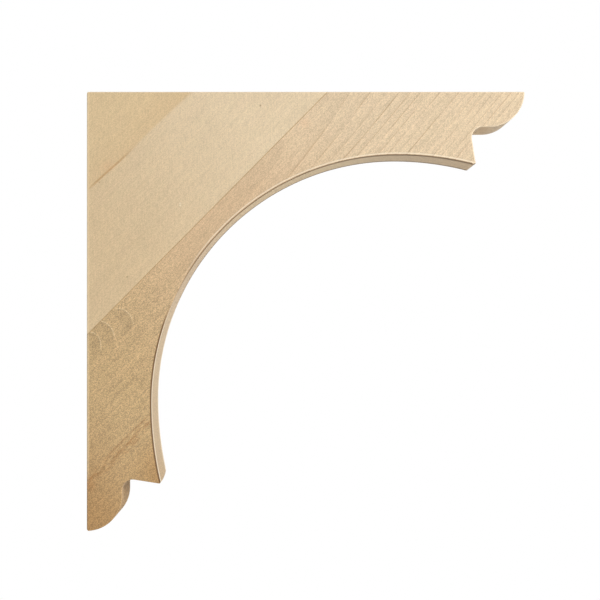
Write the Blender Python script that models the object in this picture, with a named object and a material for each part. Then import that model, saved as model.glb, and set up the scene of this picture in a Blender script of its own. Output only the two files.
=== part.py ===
"""A scrolled wooden corbel bracket, which holds up a shelf, mantel or beam on a wall.

It is sawn from a blank of two boards glued edge to edge along a diagonal. The inner board fills the corner
between the wall and the shelf. The outer board carries the arch, the two arms and their moulded ends. Each
arm ends in a quarter-round nose, a short flat, a small cove and a pointed beak, and a flatter sweep runs from
the beak into the arch. The sawn edges are eased by sanding, after the boards are glued.

Frame: x runs out from the wall, y through the thickness and z up. The origin is the centre of the wall face.
"""

import math

import bmesh
import bpy
from mathutils import Matrix, Vector

# Overall sizes, in metres
REACH = 0.254
DROP = 0.2548
THICKNESS = 0.04445

# The level arm, under the shelf
ARM_WAIST = 0.0366
ARM_SWEEP = 0.045
ARM_BEAK_DROP = 0.0058
ARM_NOSE_FLAT = 0.004

# The upright leg, against the wall
LEG_WAIST = 0.0375
LEG_SWEEP = 0.047
LEG_BEAK_DROP = 0.0056
LEG_NOSE_FLAT = 0.0032

# The moulding at both ends
NOSE_RADIUS = 0.0204
COVE_RADIUS = 0.0062
BEAK_LEAN = math.radians(9)

# The glue joint between the boards, and the outer board's width at its narrowest
BOARD_WAIST = 0.0126
JOINT_SKEW = math.radians(-0.15)
JOINT_GAP = 0.0003

# Sanded edges: those round both side faces, then the larger ones at corners that cross the thickness
EASED_EDGE = 0.0007
CORNER_ROUND = 0.001
NOSE_TIP_ROUND = 0.0008
FOOT_TIP_ROUND = 0.0016
BEAK_ROUND = 0.0015

# Steps in each round stretch
ARCH_STEPS = 60
SWEEP_STEPS = 12
NOSE_STEPS = 16
COVE_STEPS = 10
EASED_STEPS = 2
CORNER_STEPS = 4

# Points nearer than this are one
SAME_POINT = 0.000005

# Bare sanded maple: the corner board is a little paler than the arch board
CORNER_COLOUR = "D9C2A0"
ARC_COLOUR = "CEB28C"
SANDED_ROUGHNESS = 0.55
SMOOTH_UP_TO = math.radians(30)


def clear_scene():
    for old in list(bpy.data.objects):
        bpy.data.objects.remove(old, do_unlink=True)


def arc(centre, radii, start, end, steps):
    """Points of an arc. Its angles are 0 towards the arm's outer face and 90 degrees towards its end."""
    angles = [start + (end - start) * i / steps for i in range(steps + 1)]
    return [centre + Vector((radii[0] * math.sin(t), -radii[1] * math.cos(t))) for t in angles]


def arm_end(length, waist, sweep_length, beak_drop, nose_flat):
    """An arm's outline from its end to the crown of the arch, and the beak's point in it.

    Each point is (distance along the arm, depth below its outer face).
    """
    nose_centre = Vector((length - NOSE_RADIUS, 0))
    nose = arc(nose_centre, (NOSE_RADIUS, NOSE_RADIUS), math.pi / 2, math.pi, NOSE_STEPS)
    cove_centre = nose_centre + Vector((-nose_flat, NOSE_RADIUS + COVE_RADIUS))
    cove = arc(cove_centre, (COVE_RADIUS, COVE_RADIUS), 0, -math.pi / 2 - BEAK_LEAN, COVE_STEPS)
    down_face = Vector((math.sin(BEAK_LEAN), math.cos(BEAK_LEAN)))
    beak = cove[-1] + down_face * (waist + beak_drop - cove[-1].y) / down_face.y
    sweep_radius = (sweep_length**2 + beak_drop**2) / (2 * beak_drop)
    sweep_centre = Vector((beak.x - sweep_length, waist + sweep_radius))
    sweep_turn = math.asin(sweep_length / sweep_radius)
    sweep = arc(sweep_centre, (sweep_radius, sweep_radius), sweep_turn, 0, SWEEP_STEPS)
    return nose + cove + sweep, beak


def place(point, y=0.0):
    """Carries a point of the outline, (out from the wall, down from the top), into the bracket's frame."""
    return Vector((point.x, y, DROP / 2 - point.y))


def bracket_outline():
    """The outline from the wall corner to the foot, the corners to round, and the arch's centre and radii."""
    arm, arm_beak = arm_end(REACH, ARM_WAIST, ARM_SWEEP, ARM_BEAK_DROP, ARM_NOSE_FLAT)
    leg, leg_beak = arm_end(DROP, LEG_WAIST, LEG_SWEEP, LEG_BEAK_DROP, LEG_NOSE_FLAT)
    leg = [point.yx for point in reversed(leg)]
    arch_centre = Vector((arm[-1].x, leg[0].y))
    arch_radii = Vector((arch_centre.x - leg[0].x, arch_centre.y - arm[-1].y))
    arch = arc(arch_centre, arch_radii, 0, -math.pi / 2, ARCH_STEPS)
    wall_corner = Vector((0, 0))
    outline = [wall_corner] + arm + arch[1:-1] + leg
    corners = [
        (wall_corner, CORNER_ROUND),
        (arm[0], NOSE_TIP_ROUND),
        (arm_beak, BEAK_ROUND),
        (leg_beak.yx, BEAK_ROUND),
        (leg[-1], FOOT_TIP_ROUND),
    ]
    return outline, corners, arch_centre, arch_radii


def bevel(bm, edges, offset, steps):
    bmesh.ops.bevel(
        bm,
        geom=edges,
        offset=offset,
        offset_type="OFFSET",
        segments=steps,
        profile=0.5,
        affect="EDGES",
        material=-1,
    )


def round_corner(bm, corner, radius):
    """Rounds the edge that crosses the thickness at a corner of the outline."""
    at = place(corner)
    edges = [e for e in bm.edges if all((v.co - at).xz.length < SAME_POINT for v in e.verts)]
    between_faces = math.pi - edges[0].calc_face_angle()
    bevel(bm, edges, radius / math.tan(between_faces / 2), CORNER_STEPS)


def shaped_blank(outline, corners):
    """The glued blank, sawn to the outline and sanded, still in one."""
    bm = bmesh.new()
    side = bm.faces.new([bm.verts.new(place(point, -THICKNESS / 2)) for point in outline])
    grown = bmesh.ops.extrude_face_region(bm, geom=[side])
    far_side = [v for v in grown["geom"] if isinstance(v, bmesh.types.BMVert)]
    bmesh.ops.translate(bm, verts=far_side, vec=(0, THICKNESS, 0))
    bmesh.ops.remove_doubles(bm, verts=bm.verts, dist=SAME_POINT)
    bmesh.ops.recalc_face_normals(bm, faces=bm.faces)
    for corner, radius in corners:
        round_corner(bm, corner, radius)
    sides = {f for f in bm.faces if abs(f.normal.y) > 0.99}
    rim = [e for e in bm.edges if len(sides.intersection(e.link_faces)) == 1]
    bevel(bm, rim, EASED_EDGE, EASED_STEPS)
    return bm


def joint_line(arch_centre, arch_radii):
    """A point on the glue joint, and the direction from there to the wall corner, square to the joint.

    The joint runs along the arch's chord, apart from a slight skew, and leaves the outer board its waist.
    """
    to_corner = -arch_radii.yx.normalized()
    narrowest = arch_centre - arch_radii * math.sqrt(0.5)
    point = narrowest + to_corner * BOARD_WAIST
    to_corner.rotate(Matrix.Rotation(JOINT_SKEW, 2))
    return place(point), Vector((to_corner.x, 0, -to_corner.y))


def cut_board(name, blank, joint, keep, colour):
    """The part of the blank on the side of the glue joint that keep points to, as an object of its own."""
    bm = blank.copy()
    cut = bmesh.ops.bisect_plane(
        bm,
        geom=bm.verts[:] + bm.edges[:] + bm.faces[:],
        dist=SAME_POINT,
        plane_co=joint + keep * JOINT_GAP / 2,
        plane_no=keep,
        clear_inner=True,
    )
    rim = [e for e in cut["geom_cut"] if isinstance(e, bmesh.types.BMEdge)]
    bmesh.ops.contextual_create(bm, geom=rim)
    bmesh.ops.recalc_face_normals(bm, faces=bm.faces)
    mesh = bpy.data.meshes.new(name)
    bm.to_mesh(mesh)
    bm.free()
    mesh.shade_smooth()
    mesh.set_sharp_from_angle(angle=SMOOTH_UP_TO)
    mesh.materials.append(sanded_maple(name, colour))
    board = bpy.data.objects.new(name, mesh)
    bpy.context.collection.objects.link(board)
    return board


def linear(hex_colour):
    """The linear red, green, blue and alpha of an sRGB hex colour."""
    channels = [int(hex_colour[i : i + 2], 16) / 255 for i in (0, 2, 4)]
    return [c / 12.92 if c <= 0.04045 else ((c + 0.055) / 1.055) ** 2.4 for c in channels] + [1.0]


def sanded_maple(board_name, colour):
    """Bare maple, machined and sanded, with no varnish."""
    wood = bpy.data.materials.new(f"{board_name}_sanded_maple")
    wood.use_nodes = True
    shader = wood.node_tree.nodes["Principled BSDF"]
    shader.inputs["Base Color"].default_value = linear(colour)
    shader.inputs["Roughness"].default_value = SANDED_ROUGHNESS
    shader.inputs["Metallic"].default_value = 0.0
    return wood


def main():
    clear_scene()
    outline, corners, arch_centre, arch_radii = bracket_outline()
    blank = shaped_blank(outline, corners)
    joint, to_corner = joint_line(arch_centre, arch_radii)
    bracket = bpy.data.objects.new("corbel_bracket", None)
    bpy.context.collection.objects.link(bracket)
    boards = [
        cut_board("corner_board", blank, joint, to_corner, CORNER_COLOUR),
        cut_board("arc_board", blank, joint, -to_corner, ARC_COLOUR),
    ]
    for board in boards:
        board.parent = bracket
    blank.free()


main()
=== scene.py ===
"""How the wooden corbel bracket looks: two glued maple boards, the glue between them, and a plain studio.

Both boards are made again at the solids' own sizes, with smooth arcs and edges eased by hand. Their maple is
drawn through the whole thickness, so the growth rings on a side face run on over every sawn edge. Shapes are
in metres, x out from the wall, y through the thickness and z up. The wood's patterns are in millimetres.
"""

import logging
import math
from dataclasses import dataclass
from enum import Enum

import bmesh
import bpy
from bmesh.types import BMEdge, BMesh, BMVert
from bpy.types import Material, Node, NodeSocket, NodeTree, Object
from mathutils import Matrix, Vector, noise


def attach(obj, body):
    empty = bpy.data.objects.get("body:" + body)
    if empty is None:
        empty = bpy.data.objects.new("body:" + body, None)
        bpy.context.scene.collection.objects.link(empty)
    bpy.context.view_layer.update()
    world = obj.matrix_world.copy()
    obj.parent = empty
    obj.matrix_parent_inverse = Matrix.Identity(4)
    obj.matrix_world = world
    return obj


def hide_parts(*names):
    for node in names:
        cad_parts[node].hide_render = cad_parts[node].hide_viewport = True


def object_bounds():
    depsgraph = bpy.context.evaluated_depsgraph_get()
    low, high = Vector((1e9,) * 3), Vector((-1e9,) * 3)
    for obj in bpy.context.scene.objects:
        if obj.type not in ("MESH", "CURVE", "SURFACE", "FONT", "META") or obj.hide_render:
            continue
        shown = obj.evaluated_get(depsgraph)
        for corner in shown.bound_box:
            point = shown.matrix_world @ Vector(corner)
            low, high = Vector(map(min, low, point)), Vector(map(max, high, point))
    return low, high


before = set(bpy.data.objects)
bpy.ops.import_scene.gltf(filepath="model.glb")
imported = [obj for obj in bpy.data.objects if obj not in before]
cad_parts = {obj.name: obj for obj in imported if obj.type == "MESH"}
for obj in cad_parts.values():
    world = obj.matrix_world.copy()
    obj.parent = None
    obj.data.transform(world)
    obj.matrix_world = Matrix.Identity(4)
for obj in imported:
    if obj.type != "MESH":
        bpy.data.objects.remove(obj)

Pair = tuple[float, float]

MM = 0.001
SAME_POINT = 0.005 * MM
SMOOTH_UP_TO = math.radians(30)
FLATS_LEAD = 100
SMOOTH = {"interpolation_type": "SMOOTHSTEP"}
COLOURS = {"data_type": "RGBA"}
AS_TEXTURE = {"vector_type": "TEXTURE"}
TIMES = {"operation": "MULTIPLY"}
TIMES_PLUS = {"operation": "MULTIPLY_ADD"}
MINUS = {"operation": "SUBTRACT"}
NO_SIGN = {"operation": "ABSOLUTE"}
SCALE = {"operation": "SCALE"}
LENGTH = {"operation": "LENGTH"}
CAD_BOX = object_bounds()

log = logging.getLogger("corbel_bracket")


def arc(centre: Vector, radii: Vector, start: float, end: float, steps: int) -> list[Vector]:
    """Makes the points of an arc.

    Args:
        centre: The arc's centre.
        radii: Its radius along the arm and its radius in depth.
        start: The first angle, where 0 is towards the arm's outer face and 90 degrees towards its end.
        end: The last angle.
        steps: How many straight steps stand for the arc.

    Returns:
        The points, with both ends.
    """
    angles = [start + (end - start) * i / steps for i in range(steps + 1)]
    return [centre + Vector((radii[0] * math.sin(t), -radii[1] * math.cos(t))) for t in angles]


def straight(start: Vector, end: Vector, steps: int) -> list[Vector]:
    """Makes the points between two points of the outline, without the last one."""
    return [start.lerp(end, i / steps) for i in range(steps)]


@dataclass(frozen=True)
class ArmEnd:
    """The outline of one arm, from its end to the crown of the arch, as (along the arm, depth) in metres.

    It has a quarter-round nose, a short flat, a small cove, a pointed beak and a flatter sweep into the arch.
    """

    length: float
    waist: float
    sweep: float
    beak_drop: float
    nose_flat: float
    nose_radius: float = 0.0204
    cove_radius: float = 0.0062
    beak_lean: float = math.radians(9)
    nose_steps: int = 32
    cove_steps: int = 20
    face_steps: int = 12
    sweep_steps: int = 28

    @property
    def sweep_radius(self) -> float:
        """Gives the radius of the flatter sweep, which runs from the beak into the arch."""
        return (self.sweep**2 + self.beak_drop**2) / (2 * self.beak_drop)

    def outline(self) -> tuple[list[Vector], Vector]:
        """Makes the arm's outline.

        Returns:
            The points from the tip of the nose to the crown, and the point of the beak.
        """
        nose_radii = Vector((self.nose_radius, self.nose_radius))
        nose_centre = Vector((self.length - self.nose_radius, 0))
        nose = arc(nose_centre, nose_radii, math.pi / 2, math.pi, self.nose_steps)
        cove_radii = Vector((self.cove_radius, self.cove_radius))
        cove_centre = nose_centre + Vector((-self.nose_flat, self.nose_radius + self.cove_radius))
        cove = arc(cove_centre, cove_radii, 0, -math.pi / 2 - self.beak_lean, self.cove_steps)
        down_face = Vector((math.sin(self.beak_lean), math.cos(self.beak_lean)))
        beak = cove[-1] + down_face * (self.waist + self.beak_drop - cove[-1].y) / down_face.y
        face = straight(cove[-1], beak, self.face_steps)
        radius = self.sweep_radius
        sweep_centre = Vector((beak.x - self.sweep, self.waist + radius))
        turn = math.asin(self.sweep / radius)
        sweep = arc(sweep_centre, Vector((radius, radius)), turn, 0, self.sweep_steps)
        return nose + cove[:-1] + face + sweep, beak


@dataclass(frozen=True)
class BracketShape:
    """The glued blank, sawn to the bracket's outline and sanded, before it is parted at the joint.

    Its sizes are the solids' own, in metres. The edges round both side faces are eased, and the corners that
    cross the thickness are rounded a little.
    """

    arm: ArmEnd = ArmEnd(length=0.254, waist=0.0366, sweep=0.045, beak_drop=0.0058, nose_flat=0.004)
    leg: ArmEnd = ArmEnd(length=0.2548, waist=0.0375, sweep=0.047, beak_drop=0.0056, nose_flat=0.0032)
    thickness: float = 0.04445
    board_waist: float = 0.0126
    joint_skew: float = math.radians(-0.15)
    joint_gap: float = 0.0003
    eased_edge: float = 0.0007
    wall_corner_round: float = 0.001
    nose_tip_round: float = 0.0008
    foot_tip_round: float = 0.0016
    beak_round: float = 0.0015
    arch_steps: int = 180
    straight_steps: int = 90
    eased_steps: int = 5
    corner_steps: int = 7
    across_steps: int = 14
    edge_flatness: float = 0.6
    worn_beak_reach: float = 0.0065
    worn_beak_depth: float = 0.0026
    sanding_wave: float = 0.00006
    sanding_wave_length: float = 0.018

    @property
    def lip(self) -> float:
        """Gives how deep the eased edges reach behind the side faces."""
        return self.eased_edge * self.edge_flatness

    def place(self, point: Vector, y: float = 0.0) -> Vector:
        """Carries a point of the outline, as (out from the wall, down from the top), into the frame."""
        return Vector((point.x, y, self.leg.length / 2 - point.y))

    def arch(self) -> tuple[Vector, Vector]:
        """Finds the arch, which spans from one arm's crown to the other's.

        Returns:
            Its centre and its radii.
        """
        crown = self.arm.outline()[0][-1]
        leg_crown = self.leg.outline()[0][-1].yx
        centre = Vector((crown.x, leg_crown.y))
        return centre, Vector((centre.x - leg_crown.x, centre.y - crown.y))

    def sweeps(self) -> list[tuple[Vector, Vector]]:
        """Finds the flatter sweeps beside the arch.

        Returns:
            The centre and the radii of the one in the arm, then of the one in the leg.
        """
        arm, leg = self.arm.sweep_radius, self.leg.sweep_radius
        in_arm = self.arm.outline()[0][-1] + Vector((0, arm))
        in_leg = self.leg.outline()[0][-1].yx + Vector((leg, 0))
        return [(in_arm, Vector((arm, arm))), (in_leg, Vector((leg, leg)))]

    def joint(self) -> tuple[Vector, Vector]:
        """Finds the glue joint.

        Returns:
            A point on it, and the direction from there to the wall corner, square to the joint.
        """
        centre, radii = self.arch()
        to_corner = -radii.yx.normalized()
        narrowest = centre - radii * math.sqrt(0.5)
        point = narrowest + to_corner * self.board_waist
        to_corner.rotate(Matrix.Rotation(self.joint_skew, 2))
        return self.place(point), Vector((to_corner.x, 0, -to_corner.y))

    def outline(self) -> tuple[list[Vector], list[tuple[Vector, float]]]:
        """Makes the closed outline.

        Returns:
            Its points, from the wall corner round by the arm and the arch to the foot, and the corners that
            are rounded, each with its radius.
        """
        arm, arm_beak = self.arm.outline()
        leg, leg_beak = self.leg.outline()
        leg = [point.yx for point in reversed(leg)]
        centre, radii = self.arch()
        arch = arc(centre, radii, 0, -math.pi / 2, self.arch_steps)[1:-1]
        wall_corner = Vector((0, 0))
        top = straight(wall_corner, arm[0], self.straight_steps)
        wall = straight(leg[-1], wall_corner, self.straight_steps)[1:]
        corners = [
            (wall_corner, self.wall_corner_round),
            (arm[0], self.nose_tip_round),
            (arm_beak, self.beak_round),
            (leg_beak.yx, self.beak_round),
            (leg[-1], self.foot_tip_round),
        ]
        return top + arm + arch + leg + wall, corners

    def blank(self) -> BMesh:
        """Makes the whole blank.

        Returns:
            Its mesh: sawn out, its corners rounded and its edges eased.
        """
        outline, corners = self.outline()
        bm = bmesh.new()
        near = bm.faces.new([bm.verts.new(self.place(point, -self.thickness / 2)) for point in outline])
        grown = bmesh.ops.extrude_face_region(bm, geom=[near])
        far = [v for v in grown["geom"] if isinstance(v, BMVert)]
        bmesh.ops.translate(bm, verts=far, vec=(0, self.thickness, 0))
        bmesh.ops.remove_doubles(bm, verts=bm.verts, dist=SAME_POINT)
        bmesh.ops.recalc_face_normals(bm, faces=bm.faces)
        for corner, radius in corners:
            self.round_corner(bm, self.place(corner), radius)
        sides = set(sorted(bm.faces, key=lambda face: face.calc_area())[-2:])
        rim = [e for e in bm.edges if len(sides.intersection(e.link_faces)) == 1]
        bevel(bm, rim, self.eased_edge, self.eased_steps)
        through = [e for e in bm.edges if abs(e.verts[0].co.y - e.verts[1].co.y) > self.thickness / 2]
        bmesh.ops.subdivide_edges(bm, edges=through, cuts=self.across_steps, use_grid_fill=True)
        self.sand(bm)
        return bm

    def round_corner(self, bm: BMesh, at: Vector, radius: float) -> None:
        """Rounds the edge that crosses the thickness at a corner.

        Args:
            bm: The blank.
            at: The corner.
            radius: The radius of the rounding.
        """
        edges = [e for e in bm.edges if all((v.co - at).xz.length < SAME_POINT for v in e.verts)]
        between_faces = math.pi - edges[0].calc_face_angle()
        bevel(bm, edges, radius / math.tan(between_faces / 2), self.corner_steps)

    def sand(self, bm: BMesh) -> None:
        """Gives the edges the look of hand sanding.

        The eased edges lie a little flatter than a quarter round, and a little more wood is gone here and
        there, most from the eased edges and none from the sides.

        Args:
            bm: The blank.
        """
        bm.normal_update()
        for vert in bm.verts:
            depth = self.thickness / 2 - abs(vert.co.y)
            if depth < self.eased_edge + SAME_POINT:
                vert.co.y += math.copysign(depth * (1 - self.edge_flatness), vert.co.y)
            on_edge = math.sin(math.pi * min(depth / self.eased_edge, 1.0))
            on_wall = min(depth / self.eased_edge, 1.0)
            wave = 0.5 + 0.5 * noise.noise(vert.co / self.sanding_wave_length)
            inward = Vector((vert.normal.x, 0, vert.normal.z)) * -self.sanding_wave
            vert.co += inward * wave * (2 * on_edge + on_wall)
        self.wear_beak(bm)

    def wear_beak(self, bm: BMesh) -> None:
        """Rounds the leg's beak off further, the more so the nearer to the far side face.

        Args:
            bm: The blank.
        """
        tip = self.place(self.leg.outline()[1].yx)
        into_wood = Vector((-0.5, 0, 1)).normalized()
        for vert in bm.verts:
            distance = (vert.co - tip).xz.length
            if distance < self.worn_beak_reach:
                to_far = 0.5 + vert.co.y / self.thickness
                share = (1 - distance / self.worn_beak_reach) ** 2
                vert.co += into_wood * self.worn_beak_depth * share * to_far**3


class JointSide(Enum):
    """Which side of the glue joint a board lies on."""

    CORNER = 1
    ARCH = -1


def bevel(bm: BMesh, edges: list[BMEdge], offset: float, steps: int) -> None:
    """Rounds edges.

    Args:
        bm: The mesh that they are in.
        edges: The edges.
        offset: How far the rounding reaches from the edge on each face.
        steps: How many faces stand for the rounding.
    """
    bmesh.ops.bevel(
        bm,
        geom=edges,
        offset=offset,
        offset_type="OFFSET",
        segments=steps,
        profile=0.5,
        affect="EDGES",
        material=-1,
    )


def part(bm: BMesh, at: Vector, keep: Vector) -> None:
    """Saws a closed mesh along a plane, keeps one side of it and closes the cut.

    Args:
        bm: The mesh.
        at: A point on the plane.
        keep: The direction, square to the plane, of the side that stays.
    """
    cut = bmesh.ops.bisect_plane(
        bm,
        geom=bm.verts[:] + bm.edges[:] + bm.faces[:],
        dist=SAME_POINT,
        plane_co=at,
        plane_no=keep,
        clear_inner=True,
    )
    rim = [e for e in cut["geom_cut"] if isinstance(e, BMEdge)]
    bmesh.ops.contextual_create(bm, geom=rim)
    bmesh.ops.recalc_face_normals(bm, faces=bm.faces)


def finished_piece(name: str, bm: BMesh, material: Material) -> Object:
    """Turns a mesh into a shaded object of the bracket, held inside the box of the CAD solids.

    Its large flats shade as flats, and the eased edges turn smoothly between them.

    Args:
        name: The piece's name.
        bm: Its mesh, which is used up.
        material: What it is made of.

    Returns:
        The object, which rides on the bracket.
    """
    low, high = CAD_BOX
    for vert in bm.verts:
        vert.co = Vector(min(max(c, a), b) for c, a, b in zip(vert.co, low, high))
    mesh = bpy.data.meshes.new(name)
    bm.to_mesh(mesh)
    bm.free()
    mesh.shade_smooth()
    mesh.set_sharp_from_angle(angle=SMOOTH_UP_TO)
    mesh.materials.append(material)
    piece = bpy.data.objects.new(name, mesh)
    bpy.context.scene.collection.objects.link(piece)
    flats = piece.modifiers.new("flats_lead", "WEIGHTED_NORMAL")
    flats.keep_sharp = True
    flats.weight = FLATS_LEAD
    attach(piece, "root")
    log.info("%s: %d faces, %s", name, len(mesh.polygons), material.name)
    return piece


def linear(hex_colour: str) -> tuple[float, float, float, float]:
    """Turns an sRGB hex colour to linear light.

    Args:
        hex_colour: The colour, as six hex digits.

    Returns:
        Its red, green and blue, and an alpha of 1.
    """
    channels = [int(hex_colour[i : i + 2], 16) / 255 for i in (0, 2, 4)]
    red, green, blue = (c / 12.92 if c <= 0.04045 else ((c + 0.055) / 1.055) ** 2.4 for c in channels)
    return red, green, blue, 1.0


def new_material(name: str) -> tuple[Material, NodeTree, Node]:
    """Adds a plain material.

    Args:
        name: Its name.

    Returns:
        The material, its node tree and its shader.
    """
    material = bpy.data.materials.new(name)
    material.use_nodes = True
    tree = material.node_tree
    return material, tree, tree.nodes["Principled BSDF"]


def add_node(
    tree: NodeTree,
    kind: str,
    settings: dict | None = None,
    inputs: dict | list | None = None,
) -> Node:
    """Adds a node with its settings and links.

    Args:
        tree: The node tree that it goes into.
        kind: The node's type, without the words ShaderNode.
        settings: Its own options, by name.
        inputs: What goes into its sockets, by name or place: a value, a socket, or a node's first output.

    Returns:
        The node.
    """
    node = tree.nodes.new(f"ShaderNode{kind}")
    for option, value in (settings or {}).items():
        setattr(node, option, value)
    pairs = inputs.items() if isinstance(inputs, dict) else enumerate(inputs or [])
    for socket, value in pairs:
        source = value.outputs[0] if isinstance(value, Node) else value
        if isinstance(source, NodeSocket):
            tree.links.new(source, node.inputs[socket])
        else:
            node.inputs[socket].default_value = source
    return node


@dataclass(frozen=True)
class Pattern:
    """A soft random pattern, drawn out along the grain.

    Its patches are so long and so wide, in millimetres, the seed sets it apart from the other patterns, and
    detail is how many times finer its finest patches are, as a power of two.
    """

    length: float
    width: float
    seed: float
    detail: float = 2.0


class Wood:
    """The node tree of a board's material, where each place lies in the wood, and the colour so far.

    A mark covers the wood under it by the product of smooth steps. A step is a value, where that gives no
    cover, and where it gives full cover.

    Attributes:
        place: The place in the bracket, in metres.
        grain: The place in the board, in millimetres along the grain, through the thickness and across.
        split: The same place, as three numbers.
        depth: How far a place lies behind the nearer side face, in millimetres.
    """

    def __init__(self, tree: NodeTree, shape: BracketShape) -> None:
        """Lays the grain along the glue joint, with across positive towards the wall corner.

        Args:
            tree: The node tree.
            shape: The bracket's shape.
        """
        self.tree = tree
        self.shape = shape
        self.colour: NodeSocket | tuple = linear("FFFFFF")
        self.place = add_node(tree, "TexCoord").outputs["Object"]
        point, to_corner = shape.joint()
        turn = -math.atan2(-to_corner.x, to_corner.z)
        laid = {"Vector": self.place, "Location": point, "Rotation": (0, turn, 0), "Scale": (MM,) * 3}
        self.grain = add_node(tree, "Mapping", AS_TEXTURE, laid)
        self.split = add_node(tree, "SeparateXYZ", {}, [self.grain])
        from_middle = add_node(tree, "Math", NO_SIGN, [self.split.outputs[1]])
        self.depth = add_node(tree, "Math", MINUS, [shape.thickness / 2 / MM, from_middle])

    def noise(self, pattern: Pattern, number: int = 0, space: Node | None = None) -> Node:
        """Adds a soft random pattern.

        Args:
            pattern: The pattern.
            number: Its number, where there are several of a kind.
            space: The place that it is laid out in, where that isn't the board's grain.

        Returns:
            The pattern, from 0 to 1 and mostly near a half.
        """
        scale = (1 / pattern.length, 1 / pattern.width, 1 / pattern.width)
        seed = pattern.seed + number
        shift = (seed, seed * 0.7, seed * 1.3)
        fitted = add_node(self.tree, "VectorMath", TIMES_PLUS, [space or self.grain, scale, shift])
        return add_node(self.tree, "TexNoise", {}, {"Vector": fitted, "Scale": 1.0, "Detail": pattern.detail})

    def behind_face(self, nothing: float, full: float) -> tuple:
        """Gives the step between two depths, each a share of how deep the eased edges reach."""
        lip = self.shape.lip / MM
        return self.depth, nothing * lip, full * lip

    def cover(self, *steps: tuple, strength: float = 1.0) -> Node | float:
        """Adds how strongly a mark covers the wood under it.

        Args:
            steps: Its smooth steps.
            strength: The cover where all steps are full.

        Returns:
            The cover.
        """
        product = strength
        for value, nothing, full in steps:
            limits = {"Value": value, "From Min": nothing, "From Max": full}
            step = add_node(self.tree, "MapRange", SMOOTH, limits)
            product = add_node(self.tree, "Math", TIMES, [step, product])
        return product

    def mark(self, shade: str, *steps: tuple, strength: float = 1.0) -> None:
        """Covers the colour so far with a mark.

        Args:
            shade: The mark's own colour.
            steps: Its smooth steps.
            strength: Its cover where all steps are full.
        """
        shares = {0: self.cover(*steps, strength=strength), 6: self.colour, 7: linear(shade)}
        self.colour = add_node(self.tree, "Mix", COLOURS, shares).outputs[2]


@dataclass(frozen=True)
class Streak:
    """A thin stain that runs along the grain, as minerals leave it in maple. Its sizes are in millimetres.

    It waves a little, and is broken into short lengths.
    """

    across: float
    start: float
    end: float
    width: float
    strength: float = 0.4
    colour: str = "93602F"
    fade: float = 14.0
    core_share: float = 0.2
    waves: Pattern = Pattern(30.0, 30.0, 21.0)
    wave_height: float = 4.0
    breaks: Pattern = Pattern(6.0, 1.4, 31.0)
    break_limits: Pair = (0.4, 0.56)


@dataclass(frozen=True)
class Fleck:
    """A small mark in the near side face, such as a pin knot or a ray. Its sizes are in millimetres."""

    along: float
    across: float
    colour: str
    radius: float = 0.8
    strength: float = 0.5


@dataclass(frozen=True)
class ArchedTip:
    """The rounded end of a growth ring on a flat-sawn face. Its sizes are in millimetres.

    It lies across the grain at its top and falls away on both sides, by the square of the distance over bend.
    It waves, has short gaps and ends where that square passes its reach. Under it the wood is browner.
    """

    along: float
    across: float
    bend: float
    strength: float = 0.4
    line_limits: Pair = (0.55, 0.1)
    reach: Pair = (75.0, 30.0)
    waves: Pattern = Pattern(7.0, 7.0, 41.0)
    wave_height: float = 1.5
    gaps: Pattern = Pattern(2.5, 2.5, 43.0)
    gap_limits: Pair = (0.3, 0.52)
    shade_strength: float = 0.13
    shade_foot: Pair = (-12.0, -0.8)
    shade_top: Pair = (0.0, -0.5)


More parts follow.
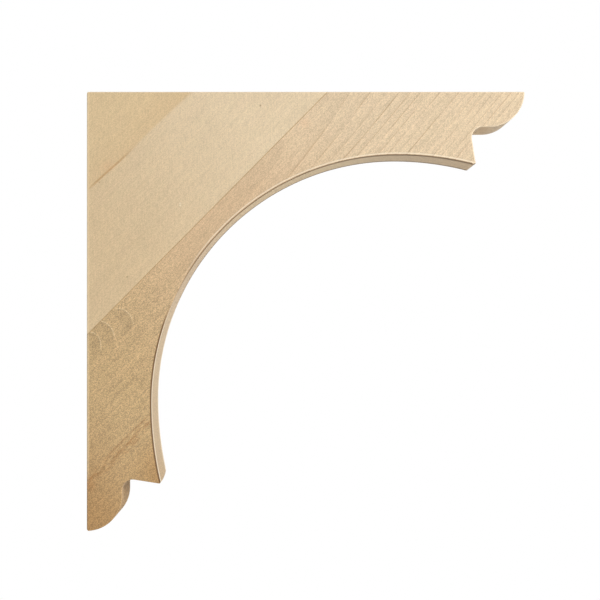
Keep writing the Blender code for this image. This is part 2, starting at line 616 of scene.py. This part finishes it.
@dataclass(frozen=True)
class SandedMaple:
    """Hard maple that was planed, glued, shaped and machine-sanded, and has no varnish or oil on it.

    To the eye it is a pale, dry, close-grained wood without open pores. Its growth rings end in hair-thin
    darker lines, a fine fibre runs along the board, the sanding belt leaves faint upright marks, and light
    neither pools nor sparkles on it. The sawn walls are greyer and pinker than the planed sides. The eased
    edges are paler, partly because fresh wood shows there and partly as painted highlight, and a painted
    highlight line runs along the back.

    Sizes are in millimetres. Vessels in maple are under 0.1 mm wide and belt marks finer still, too fine to
    show, so fibres, mottle and belt marks are drawn several times as coarse. Limits are where a mark has no
    cover and where it has full cover.
    """

    name: str
    pith_through: float
    pith_across: float
    ring_pitch: float
    taper: float
    butt_flare: float
    wander: float
    fibre_contrast: float
    mottle_contrast: float
    wall_colour: str
    end_colour: str
    # Colour of the eased edges: partly fresh wood, partly painted highlight.
    fresh_edge_and_highlight_colour: str
    streaks: tuple[Streak, ...] = ()
    flecks: tuple[Fleck, ...] = ()
    wandering: Pattern = Pattern(60.0, 20.0, 3.1, detail=1.0)
    line_share: float = 0.2
    faintest_line: float = 0.3
    patches: Pattern = Pattern(40.0, 6.0, 9.4)
    patch_limits: Pair = (0.3, 0.58)
    clouds: Pattern = Pattern(40.0, 9.0, 13.0)
    cloud_contrast: float = 0.06
    fibre: Pattern = Pattern(14.0, 0.7, 5.0)
    fibre_low: float = 0.3
    mottle: Pattern = Pattern(0.6, 0.4, 7.0)
    mottle_low: float = 0.38
    leg_mottle: float = 1.0
    leg_limits: Pair = (-70.0, -10.0)
    belt_marks: Pattern = Pattern(8.0, 0.8, 11.0)
    belt_low: float = 0.3
    belt_contrast: float = 0.045
    tint: Pattern = Pattern(9.0, 5.0, 17.0)
    tint_contrast: float = 0.012
    texture_share: float = 0.5
    wall_cover: float = 0.6
    wall_limits: Pair = (0.7, 1.2)
    # Where the greyer wall colour fades out towards the foot, leaving painted shade there.
    foot_wall_shade: Pair = (-175.0, -115.0)
    end_cover: float = 0.35
    end_limits: Pair = (0.5, 1.0)
    edge_cover: float = 0.4
    edge_limits: Pair = (0.01, 0.08)
    face_limits: Pair = (1.6, 0.9)
    # The painted highlight line along the back edge: its cover, place, end at the foot and colour.
    back_highlight_cover: float = 0.35
    back_highlight_limits: Pair = (1.8, 1.0)
    back_highlight_foot: Pair = (-165.0, -150.0)
    painted_highlight_colour: str = "F4DCB2"
    roughness: float = 0.55
    roughness_spread: float = 0.1
    ior: float = 1.5
    relief: float = 0.03

    def material(self, shape: BracketShape) -> Material:
        """Builds the finish.

        Args:
            shape: The bracket's shape.

        Returns:
            The material.
        """
        material, tree, shader = new_material(self.name)
        wood = Wood(tree, shape)
        self.figure(wood)
        for number, streak in enumerate(self.streaks):
            self.stain(wood, streak, number)
        for fleck in self.flecks:
            self.spot(wood, fleck)
        self.walls(wood)
        texture = self.fibres(wood)
        self.edges(wood)
        tree.links.new(wood.colour, shader.inputs["Base Color"])
        spread = self.roughness_spread
        low, high = self.roughness - spread, self.roughness + spread
        rough = add_node(tree, "MapRange", {}, {"Value": texture, "To Min": low, "To Max": high})
        tree.links.new(rough.outputs[0], shader.inputs["Roughness"])
        bump = add_node(tree, "Bump", {}, {"Strength": 1.0, "Distance": self.relief * MM, "Height": texture})
        tree.links.new(bump.outputs[0], shader.inputs["Normal"])
        shader.inputs["IOR"].default_value = self.ior
        shader.inputs["Metallic"].default_value = 0.0
        return material

    def figure(self, wood: Wood) -> None:
        """Adds the board's own colour and rings, which each board sets for itself."""
        raise NotImplementedError

    def ring_radius(self, wood: Wood) -> Node:
        """Adds how far out from the tree's pith a place grew.

        The trunk tapers, more so towards its butt, and the rings wander a little.

        Args:
            wood: The board's wood.

        Returns:
            The radius, in millimetres.
        """
        tree = wood.tree
        pith = (0, -self.pith_through, -self.pith_across)
        from_pith = add_node(tree, "VectorMath", TIMES_PLUS, [wood.grain, (0, 1, 1), pith])
        radius = add_node(tree, "VectorMath", LENGTH, [from_pith]).outputs["Value"]
        slope = add_node(tree, "Math", TIMES_PLUS, [wood.split, self.butt_flare, self.taper])
        grown = add_node(tree, "Math", TIMES_PLUS, [wood.split, slope, radius])
        drift = wood.noise(self.wandering)
        return add_node(tree, "Math", TIMES_PLUS, [drift, self.wander, grown])

    def ring_lines(self, wood: Wood, radius: Node) -> tuple[Node, Node]:
        """Adds the growth rings.

        Args:
            wood: The board's wood.
            radius: How far out from the pith a place grew.

        Returns:
            The thin line that ends each ring, of uneven strength, and the place in the ring from 0 to 1.
        """
        tree = wood.tree
        count = add_node(tree, "Math", {"operation": "DIVIDE"}, [radius, self.ring_pitch])
        ring = add_node(tree, "Math", {"operation": "FRACT"}, [count])
        number = add_node(tree, "Math", {"operation": "FLOOR"}, [count])
        year = add_node(tree, "TexWhiteNoise", {"noise_dimensions": "1D"}, {"W": number})
        year_strength = add_node(tree, "MapRange", {}, {"Value": year, "To Min": self.faintest_line})
        patch = wood.noise(self.patches)
        uneven = wood.cover((patch, *self.patch_limits))
        strength = add_node(tree, "Math", TIMES, [year_strength, uneven])
        line = wood.cover((ring, 1 - self.line_share, 1.0))
        return add_node(tree, "Math", TIMES, [line, strength]), ring

    def cloud_shade(self, wood: Wood) -> Node:
        """Adds soft clouds of lighter and darker wood, as a factor near 1."""
        cloud = wood.noise(self.clouds)
        spread = self.cloud_contrast
        return add_node(wood.tree, "Math", TIMES_PLUS, [cloud, 2 * spread, 1 - spread])

    def stain(self, wood: Wood, streak: Streak, number: int) -> None:
        """Adds one streak, wavy and broken as it is in the wood.

        Args:
            wood: The board's wood.
            streak: The streak.
            number: Its number, from 0.
        """
        wave = wood.noise(streak.waves, number)
        away = add_node(wood.tree, "Math", TIMES_PLUS, [wave, streak.wave_height, wood.split.outputs[2]])
        offset = add_node(wood.tree, "Math", MINUS, [away, streak.across + streak.wave_height / 2])
        distance = add_node(wood.tree, "Math", NO_SIGN, [offset])
        broken = wood.noise(streak.breaks, number)
        wood.mark(
            streak.colour,
            (distance, streak.width, streak.width * streak.core_share),
            (wood.split, streak.start, streak.start + streak.fade),
            (wood.split, streak.end, streak.end - streak.fade),
            (broken, *streak.break_limits),
            strength=streak.strength,
        )

    def spot(self, wood: Wood, fleck: Fleck) -> None:
        """Adds one fleck.

        Args:
            wood: The board's wood.
            fleck: The fleck.
        """
        centre = (fleck.along, -wood.shape.thickness / 2 / MM, fleck.across)
        distance = add_node(wood.tree, "VectorMath", {"operation": "DISTANCE"}, [wood.grain, centre])
        wood.mark(fleck.colour, (distance.outputs["Value"], fleck.radius, 0.0), strength=fleck.strength)

    def walls(self, wood: Wood) -> None:
        """Adds what sawing does: greyer walls, and browner ones where a wall cuts the fibres.

        Towards the leg's foot the walls keep the face's browner colour instead of the greyer wall colour, as
        painted shade on the foot's walls.

        Args:
            wood: The board's wood.
        """
        # Towards the foot the greyer wall colour fades out, leaving the browner face colour as painted shade.
        steps = (wood.behind_face(*self.wall_limits), (wood.split, *self.foot_wall_shade))
        wood.mark(self.wall_colour, *steps, strength=self.wall_cover)
        _, to_corner = wood.shape.joint()
        along = (to_corner.z, 0, -to_corner.x)
        normal = add_node(wood.tree, "TexCoord").outputs["Normal"]
        facing = add_node(wood.tree, "VectorMath", {"operation": "DOT_PRODUCT"}, [normal, along])
        end_on = add_node(wood.tree, "Math", NO_SIGN, [facing.outputs["Value"]])
        wood.mark(self.end_colour, (end_on, *self.end_limits), strength=self.end_cover)

    def fibres(self, wood: Wood) -> Node:
        """Adds fibre, mottle, belt marks and a slight drift of tint. The mottle is stronger in the leg.

        Args:
            wood: The board's wood.

        Returns:
            The texture that also sets gloss and relief.
        """
        tree = wood.tree
        belt = {"Vector": wood.place, "Rotation": (0, -math.pi / 2, 0), "Scale": (MM,) * 3}
        upright = add_node(tree, "Mapping", AS_TEXTURE, belt)
        leg, arm = self.leg_limits
        to_arm = {"Value": wood.split, "From Min": leg, "From Max": arm, "To Min": self.leg_mottle}
        in_leg = add_node(tree, "MapRange", SMOOTH, to_arm)
        fibre = wood.noise(self.fibre)
        mottle = wood.noise(self.mottle)
        belt_marks = wood.noise(self.belt_marks, space=upright)
        patterns = [
            (fibre, self.fibre_low, self.fibre_contrast, 1.0),
            (mottle, self.mottle_low, self.mottle_contrast, in_leg),
            (belt_marks, self.belt_low, self.belt_contrast, 1.0),
        ]
        shade = 1.0
        for pattern, low, contrast, strength in patterns:
            limits = {"Value": pattern, "From Min": low, "From Max": 1 - low}
            swing = add_node(tree, "MapRange", {}, {**limits, "To Min": -contrast, "To Max": contrast})
            shade = add_node(tree, "Math", TIMES_PLUS, [swing, strength, shade])
        shaded = add_node(tree, "VectorMath", SCALE, {0: wood.colour, "Scale": shade})
        drift = wood.noise(self.tint).outputs["Color"]
        spread = self.tint_contrast
        tint = add_node(tree, "VectorMath", TIMES_PLUS, [drift, (2 * spread,) * 3, (1 - spread,) * 3])
        wood.colour = add_node(tree, "VectorMath", TIMES, [shaded, tint]).outputs[0]
        share = self.texture_share
        return add_node(tree, "Math", TIMES_PLUS, [fibre, share, (1 - share) / 2])

    def edges(self, wood: Wood, *held_to: tuple) -> None:
        """Adds the eased edges, paler partly as fresh wood and partly as painted highlight, and a painted
        highlight line along the back.

        Args:
            wood: The board's wood.
            held_to: Further steps that the eased edges are held to.
        """
        by_face = wood.behind_face(*self.face_limits)
        eased = (wood.behind_face(*self.edge_limits), by_face, *held_to)
        # Paler eased edges: partly the colour of fresh wood, partly painted highlight.
        wood.mark(self.fresh_edge_and_highlight_colour, *eased, strength=self.edge_cover)
        # Painted highlight: a paler line on the face along the back edge.
        place = add_node(wood.tree, "SeparateXYZ", {}, [wood.place])
        outer, inner = (limit * MM for limit in self.back_highlight_limits)
        back_highlight = (by_face, (place, outer, inner), (wood.split, *self.back_highlight_foot))
        wood.mark(self.painted_highlight_colour, *back_highlight, strength=self.back_highlight_cover)


@dataclass(frozen=True)
class CornerMaple(SandedMaple):
    """The corner board's maple: pale and plain sapwood, with one growth line beyond which the wood is tanner.

    The growth line itself shows only at its lower end, as a thin reddish stain.
    """

    pale_low: str = "D2B993"
    pale_high: str = "DBC6A5"
    pale_limits: Pair = (-70.0, 70.0)
    tan_near: str = "D3B88F"
    tan_far: str = "D6BD94"
    tan_radius: float = 209.8
    tan_edge: float = 2.4
    tan_depth: float = 26.0
    stain_colour: str = "AE7E48"
    stain_strength: float = 0.6
    stain_width: float = 1.2
    stain_top: Pair = (2.0, -18.0)
    stain_foot: Pair = (-43.0, -31.0)
    line_colour: str = "B58A5A"
    line_strength: float = 0.08
    clouds: Pattern = Pattern(34.0, 12.0, 13.0)
    cloud_contrast: float = 0.05

    def figure(self, wood: Wood) -> None:
        """Adds the plain pale wood, the tanner zone in the corner and its faint rings.

        Args:
            wood: The board's wood.
        """
        tree, split = wood.tree, wood.split
        radius = self.ring_radius(wood)
        line, _ = self.ring_lines(wood, radius)
        wood.colour = linear(self.pale_low)
        wood.mark(self.pale_high, (split, *self.pale_limits))
        pale = wood.colour
        wood.colour = linear(self.tan_near)
        wood.mark(self.tan_far, (radius, self.tan_radius, self.tan_radius - self.tan_depth))
        half = self.tan_edge / 2
        border = wood.cover((radius, self.tan_radius + half, self.tan_radius - half))
        wood.colour = add_node(tree, "Mix", COLOURS, {0: border, 6: pale, 7: wood.colour}).outputs[2]
        from_border = add_node(tree, "Math", MINUS, [radius, self.tan_radius])
        away = add_node(tree, "Math", NO_SIGN, [from_border])
        stain = ((away, self.stain_width, 0.0), (split, *self.stain_top), (split, *self.stain_foot))
        wood.mark(self.stain_colour, *stain, strength=self.stain_strength)
        faint = add_node(tree, "Math", TIMES, [line, self.line_strength])
        lines = {0: faint, 6: wood.colour, 7: linear(self.line_colour)}
        lined = add_node(tree, "Mix", COLOURS, lines).outputs[2]
        clouded = add_node(tree, "VectorMath", SCALE, {0: lined, "Scale": self.cloud_shade(wood)})
        wood.colour = clouded.outputs[0]


@dataclass(frozen=True)
class ArchMaple(SandedMaple):
    """The arch board's maple: flat-sawn, pale with brown ring lines in the arm, and browner in the leg.

    Near the glue line the rings lie flat in the board and hardly show. In the leg they end in a few pale
    arched tips, as flat-sawn boards have them. Along the arch, pale and brown lines are painted highlight
    and painted shade.
    """

    foot_colour: str = "B08958"
    leg_colour: str = "C6A87B"
    leg_zone: Pair = (-185.0, -115.0)
    waist_colour: str = "D4B691"
    waist_zone: Pair = (-110.0, 10.0)
    arm_colour: str = "DAC3A2"
    arm_zone: Pair = (0.0, 110.0)
    line_colour: str = "9C7044"
    line_strength: float = 0.5
    line_along: Pair = (5.0, 45.0)
    line_across: Pair = (-6.0, -20.0)
    ring_shade: float = 0.09
    tip_colour: str = "ECD6AE"
    tips: tuple[ArchedTip, ...] = ()
    # Colour of the painted shade along the arch, and where along the board its painted highlights and shades
    # lie.
    painted_shade_colour: str = "6E4F2C"
    eased_along: Pair = (-70.0, -20.0)
    arm_highlight: Pair = (-45.0, -5.0)
    arm_wall_shade: Pair = (-62.0, -22.0)
    leg_highlight_and_shade: Pair = (-50.0, -68.0)
    crown_light_foot: Pair = (-30.0, 25.0)
    crown_light_top: Pair = (110.0, 65.0)

    def figure(self, wood: Wood) -> None:
        """Adds the drift of colour from foot to arm, the arm's ring lines and the leg's arched tips.

        Args:
            wood: The board's wood.
        """
        tree, split = wood.tree, wood.split
        radius = self.ring_radius(wood)
        line, ring = self.ring_lines(wood, radius)
        wood.colour = linear(self.foot_colour)
        wood.mark(self.leg_colour, (split, *self.leg_zone))
        wood.mark(self.waist_colour, (split, *self.waist_zone))
        wood.mark(self.arm_colour, (split, *self.arm_zone))
        shade = add_node(tree, "Math", TIMES_PLUS, [ring, -self.ring_shade, self.cloud_shade(wood)])
        wood.colour = add_node(tree, "VectorMath", SCALE, {0: wood.colour, "Scale": shade}).outputs[0]
        off_joint = (split.outputs[2], *self.line_across)
        lines = ((split, *self.line_along), off_joint, (line, 0.0, 1.0))
        wood.mark(self.line_colour, *lines, strength=self.line_strength)
        for tip in self.tips:
            self.arched_tip(wood, tip)

    def arched_tip(self, wood: Wood, tip: ArchedTip) -> None:
        """Adds one pale arched line, with browner wood under it.

        Args:
            wood: The board's wood.
            tip: The arched tip.
        """
        tree = wood.tree
        from_top = add_node(tree, "Math", MINUS, [wood.split.outputs[2], tip.across])
        square = add_node(tree, "Math", TIMES, [from_top, from_top])
        to_top = -tip.along - tip.wave_height / 2
        fall = add_node(tree, "Math", TIMES_PLUS, [square, 1 / tip.bend, to_top])
        level = add_node(tree, "Math", {"operation": "ADD"}, [wood.split, fall])
        wave = wood.noise(tip.waves)
        wavy = add_node(tree, "Math", TIMES_PLUS, [wave, tip.wave_height, level])
        away = add_node(tree, "Math", NO_SIGN, [wavy])
        gaps = wood.noise(tip.gaps)
        near_top = (square, *tip.reach)
        line = ((away, *tip.line_limits), near_top, (gaps, *tip.gap_limits))
        wood.mark(self.tip_colour, *line, strength=tip.strength)
        under = wood.cover((wavy, *tip.shade_foot), (wavy, *tip.shade_top), near_top)
        dim = add_node(tree, "Math", TIMES_PLUS, [under, -tip.shade_strength, 1.0])
        wood.colour = add_node(tree, "VectorMath", SCALE, {0: wood.colour, "Scale": dim}).outputs[0]

    def edges(self, wood: Wood) -> None:
        """Adds painted highlight and painted shade along the arch.

        The arm has a painted highlight on its face and painted shade on its wall. The leg has painted
        shade on its face and a painted highlight on its wall. Around the crown the wall has painted light.

        Args:
            wood: The board's wood.
        """
        rim, split, depth = self.rim_distance(wood), wood.split, wood.depth
        super().edges(wood, (split, *self.eased_along), (rim, 1.0, 2.0))
        by_face = wood.behind_face(*self.face_limits)
        # In millimetres, rim is how far a place lies from the arch's wall, and depth how far behind the face.
        on_wall = (rim, 0.3, 0.1)
        crown = ((split, *self.crown_light_foot), (split, *self.crown_light_top))
        arm_highlight = ((split, *self.arm_highlight), by_face, (rim, 0.6, 0.85), (rim, 1.5, 1.1))
        arm_wall_shade = ((split, *self.arm_wall_shade), (rim, 0.75, 0.45), wood.behind_face(0.02, 0.3), (depth, 7.5, 2.5))
        leg_wall_highlight = ((split, *self.leg_highlight_and_shade), on_wall, wood.behind_face(0.8, 1.3), (depth, 7.0, 2.0))
        leg_face_shade = ((split, *self.leg_highlight_and_shade), by_face, (rim, -0.1, 0.1), (rim, 1.15, 0.75))
        # Painted light: a paler band on the arch's wall around the crown.
        wood.mark(self.painted_highlight_colour, on_wall, *crown, (depth, 1.0, 5.0), strength=0.45)
        # Painted highlight: a pale line on the arm's face along the arch.
        wood.mark(self.fresh_edge_and_highlight_colour, *arm_highlight, strength=0.65)
        # Painted shade: a brown band on the arm's wall next to the face.
        wood.mark(self.painted_shade_colour, *arm_wall_shade, strength=0.8)
        # Painted highlight: a pale band on the leg's wall next to the face.
        wood.mark(self.fresh_edge_and_highlight_colour, *leg_wall_highlight)
        # Painted shade: a brown line on the leg's face along the arch.
        wood.mark(self.painted_shade_colour, *leg_face_shade, strength=0.95)

    def rim_distance(self, wood: Wood) -> NodeSocket:
        """Adds how far a place lies from the arch's wall and the flatter sweeps'.

        Args:
            wood: The board's wood.

        Returns:
            The distance, in millimetres.
        """
        tree, shape = wood.tree, wood.shape
        distances = []
        for centre, radii in [shape.arch(), *shape.sweeps()]:
            fit = {"Vector": wood.place, "Location": shape.place(centre), "Scale": (radii.x, 1.0, radii.y)}
            fitted = add_node(tree, "Mapping", AS_TEXTURE, fit)
            flat = add_node(tree, "VectorMath", TIMES, [fitted, (1, 0, 1)])
            reach = add_node(tree, "VectorMath", LENGTH, [flat]).outputs["Value"]
            radius = radii.x / MM
            distances.append(add_node(tree, "Math", TIMES_PLUS, [reach, radius, -radius]))
        crown = shape.place(shape.arch()[0])
        place = add_node(tree, "SeparateXYZ", {}, [wood.place])
        in_arm = add_node(tree, "Math", {"operation": "GREATER_THAN"}, [place.outputs[0], crown.x])
        in_leg = add_node(tree, "Math", {"operation": "LESS_THAN"}, [place.outputs[2], crown.z])
        upper = add_node(tree, "Mix", {}, {0: in_arm, 2: distances[0], 3: distances[1]}).outputs[0]
        return add_node(tree, "Mix", {}, {0: in_leg, 2: upper, 3: distances[2]}).outputs[0]


@dataclass(frozen=True)
class CuredGlue:
    """Yellow wood glue, pressed out to a film and cured: a thin, dull brown line between two pale boards."""

    name: str = "cured_wood_glue"
    colour: str = "A48254"
    fresh_colour: str = "B89665"
    roughness: float = 0.45
    patch: float = 6.0

    def material(self) -> Material:
        """Builds the finish.

        Returns:
            The material, a little lighter where the film is thinner.
        """
        material, tree, shader = new_material(self.name)
        place = add_node(tree, "TexCoord").outputs["Object"]
        scale = 1 / (self.patch * MM)
        thin = add_node(tree, "TexNoise", {}, {"Vector": place, "Scale": scale, "Detail": 2.0})
        shares = {0: thin, 6: linear(self.colour), 7: linear(self.fresh_colour)}
        mixed = add_node(tree, "Mix", COLOURS, shares)
        tree.links.new(mixed.outputs[2], shader.inputs["Base Color"])
        shader.inputs["Roughness"].default_value = self.roughness
        return material


@dataclass(frozen=True)
class Board:
    """One of the two boards: its name, the solid that it stands for, its side of the joint and its finish."""

    name: str
    node: str
    slot: str
    side: JointSide
    finish: SandedMaple

    def build(self, shape: BracketShape, blank: BMesh) -> None:
        """Saws the board out of the blank and dresses it.

        Args:
            shape: The bracket's shape.
            blank: The whole blank, which stays as it is.
        """
        bm = blank.copy()
        joint, to_corner = shape.joint()
        keep = to_corner * self.side.value
        part(bm, joint + keep * shape.joint_gap / 2, keep)
        piece = finished_piece(self.name, bm, self.finish.material(shape))
        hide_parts(self.node)


@dataclass(frozen=True)
class GlueLine:
    """The film of glue in the joint. Sanding leaves it a hair below the wood. Its sizes are in metres."""

    name: str = "glue_line"
    clearance: float = 0.00001
    recess: float = 0.00006
    finish: CuredGlue = CuredGlue()

    def build(self, shape: BracketShape, blank: BMesh) -> None:
        """Makes the film from the slice of the blank that the joint's gap takes away.

        Args:
            shape: The bracket's shape.
            blank: The whole blank, which stays as it is.
        """
        bm = blank.copy()
        joint, to_corner = shape.joint()
        half = shape.joint_gap / 2 - self.clearance
        for keep in (to_corner, -to_corner):
            part(bm, joint - keep * half, keep)
        along = Vector((to_corner.z, 0, -to_corner.x))
        reach = [(vert.co - joint).dot(along) for vert in bm.verts]
        middle = (min(reach) + max(reach)) / 2
        length = max(reach) - min(reach)
        for vert in bm.verts:
            from_middle = (vert.co - joint).dot(along) - middle
            vert.co -= along * from_middle * 2 * self.recess / length
            vert.co.y *= 1 - 2 * self.recess / shape.thickness
        finished_piece(self.name, bm, self.finish.material())


@dataclass(frozen=True)
class SoftBox:
    """A square studio light, pointed at the bracket: its place and side in metres, and its power in watts."""

    name: str
    place: Vector
    side: float
    power: float

    def build(self, target: Vector) -> None:
        """Hangs the light and points it.

        Args:
            target: The point that it shines at.
        """
        lamp = bpy.data.lights.new(self.name, "AREA")
        lamp.shape = "SQUARE"
        lamp.size = self.side
        lamp.energy = self.power
        light = bpy.data.objects.new(self.name, lamp)
        light.location = self.place
        light.rotation_euler = (target - self.place).to_track_quat("-Z", "Y").to_euler()
        bpy.context.scene.collection.objects.link(light)


@dataclass(frozen=True)
class Studio:
    """A plain pale floor well below the bracket, soft lights, a white background and the camera.

    The camera looks square on at the near side face, from the height of the bracket's middle.
    """

    lights: tuple[SoftBox, ...] = (
        SoftBox("key_softbox", Vector((1.1, -0.75, 0.4)), 0.8, 17.5),
        SoftBox("fill_softbox", Vector((-0.9, -1.3, 0.2)), 1.2, 4.1),
        SoftBox("back_softbox", Vector((-0.8, 0.9, 1.0)), 0.8, 24.0),
    )
    overhead: float = 0.41
    underneath: float = 0.07
    height_limits: Pair = (-0.6, 0.6)
    floor_drop: float = 0.45
    floor_radius: float = 1.1
    floor_steps: int = 128
    floor_roughness: float = 0.8
    floor_colour: str = "E9E7E3"
    camera_place: Vector = Vector((0.12366, -0.9235, 0.00659))
    lens: float = 93.25

    def build(self) -> None:
        """Sets up the whole studio."""
        low, high = CAD_BOX
        for light in self.lights:
            light.build((low + high) / 2)
        self.lay_floor(low.z - self.floor_drop)
        self.paint_background()
        self.set_camera()
        bpy.context.scene.view_settings.view_transform = "Standard"

    def lay_floor(self, height: float) -> None:
        """Lays a round, matt, pale floor.

        Args:
            height: How high it lies.
        """
        bm = bmesh.new()
        bmesh.ops.create_circle(bm, cap_ends=True, segments=self.floor_steps, radius=self.floor_radius)
        bmesh.ops.translate(bm, verts=bm.verts, vec=(0, 0, height))
        mesh = bpy.data.meshes.new("studio_floor")
        bm.to_mesh(mesh)
        bm.free()
        paint, _, shader = new_material("matt_floor_paint")
        shader.inputs["Base Color"].default_value = linear(self.floor_colour)
        shader.inputs["Roughness"].default_value = self.floor_roughness
        mesh.materials.append(paint)
        floor = bpy.data.objects.new("studio_floor", mesh)
        bpy.context.scene.collection.objects.link(floor)

    def paint_background(self) -> None:
        """Makes the background plain white to the camera, and as a light dimmer, most of all underneath."""
        world = bpy.data.worlds.new("studio_surround")
        world.use_nodes = True
        bpy.context.scene.world = world
        tree = world.node_tree
        background = tree.nodes["Background"]
        background.inputs["Color"].default_value = linear("FFFFFF")
        direction = add_node(tree, "SeparateXYZ", {}, [add_node(tree, "TexCoord").outputs["Generated"]])
        low, high = self.height_limits
        limits = {"From Min": low, "From Max": high, "To Min": self.underneath, "To Max": self.overhead}
        as_light = add_node(tree, "MapRange", SMOOTH, {"Value": direction.outputs[2], **limits})
        seen = add_node(tree, "LightPath").outputs["Is Camera Ray"]
        strength = add_node(tree, "MapRange", {}, {"Value": seen, "To Min": as_light, "To Max": 1.0})
        tree.links.new(strength.outputs[0], background.inputs["Strength"])

    def set_camera(self) -> None:
        """Places the camera."""
        lens = bpy.data.cameras.new("camera")
        lens.lens = self.lens
        camera = bpy.data.objects.new("camera", lens)
        camera.location = self.camera_place
        camera.rotation_euler = (math.pi / 2, 0, 0)
        bpy.context.scene.collection.objects.link(camera)
        bpy.context.scene.camera = camera


CORNER_FINISH = CornerMaple(
    name="sanded_maple_sapwood",
    pith_through=15.0,
    pith_across=260.0,
    ring_pitch=5.2,
    taper=-0.0446,
    butt_flare=0.0006,
    wander=6.0,
    fibre_contrast=0.04,
    mottle_contrast=0.1,
    wall_colour="D8C7AE",
    end_colour="BF9F74",
    fresh_edge_and_highlight_colour="F3E4CB",
    flecks=(
        Fleck(along=65.1, across=22.1, radius=0.9, strength=0.7, colour="7E6038"),
        Fleck(along=-59.8, across=7.1, colour="8A6C45"),
        Fleck(along=-32.2, across=57.1, colour="8A6034"),
        Fleck(along=-8.7, across=14.4, strength=0.6, colour="F4EAD2"),
        Fleck(along=-7.9, across=15.2, colour="F4EAD2"),
        Fleck(along=-22.3, across=60.2, radius=6.0, strength=0.25, colour="D2A27A"),
    ),
)
ARCH_FINISH = ArchMaple(
    name="sanded_maple_flat_sawn",
    pith_through=10.0,
    pith_across=-2.2,
    ring_pitch=3.5,
    taper=0.022,
    butt_flare=0.0002,
    wander=1.5,
    fibre_contrast=0.07,
    mottle_contrast=0.15,
    leg_mottle=1.85,
    wall_colour="DCC9AF",
    end_colour="B8976B",
    fresh_edge_and_highlight_colour="F7E8CE",
    streaks=(
        Streak(across=-61.0, start=-176.0, end=-104.0, width=4.4, colour="A37848"),
        Streak(across=-60.8, start=-186.0, end=-104.0, width=1.1, strength=0.5),
        Streak(across=-63.7, start=-152.0, end=-112.0, width=0.8),
        Streak(across=-58.3, start=-150.0, end=-100.0, width=0.7),
    ),
    flecks=(
        Fleck(along=76.1, across=-3.3, radius=5.0, strength=0.2, colour="DDAE86"),
        Fleck(along=-122.7, across=-90.2, radius=30.0, strength=0.7, colour="A67A44"),
        Fleck(along=-161.2, across=-62.5, radius=6.0, strength=0.3, colour="A8713C"),
    ),
    tips=(
        ArchedTip(along=-96.4, across=-4.5, bend=13.0),
        ArchedTip(along=-87.2, across=-5.5, bend=19.0),
        ArchedTip(along=-74.1, across=-8.5, bend=15.0),
    ),
)


def main() -> None:
    """Builds both boards, the glue between them and the studio."""
    logging.basicConfig(level=logging.INFO, format="%(message)s")
    shape = BracketShape()
    blank = shape.blank()
    boards = (
        Board("sanded_corner_board", "corner_board", "corner_maple", JointSide.CORNER, CORNER_FINISH),
        Board("sanded_arch_board", "arc_board", "arc_maple", JointSide.ARCH, ARCH_FINISH),
    )
    for piece in (*boards, GlueLine()):
        piece.build(shape, blank)
    blank.free()
    Studio().build()


if __name__ == "__main__":
    main()
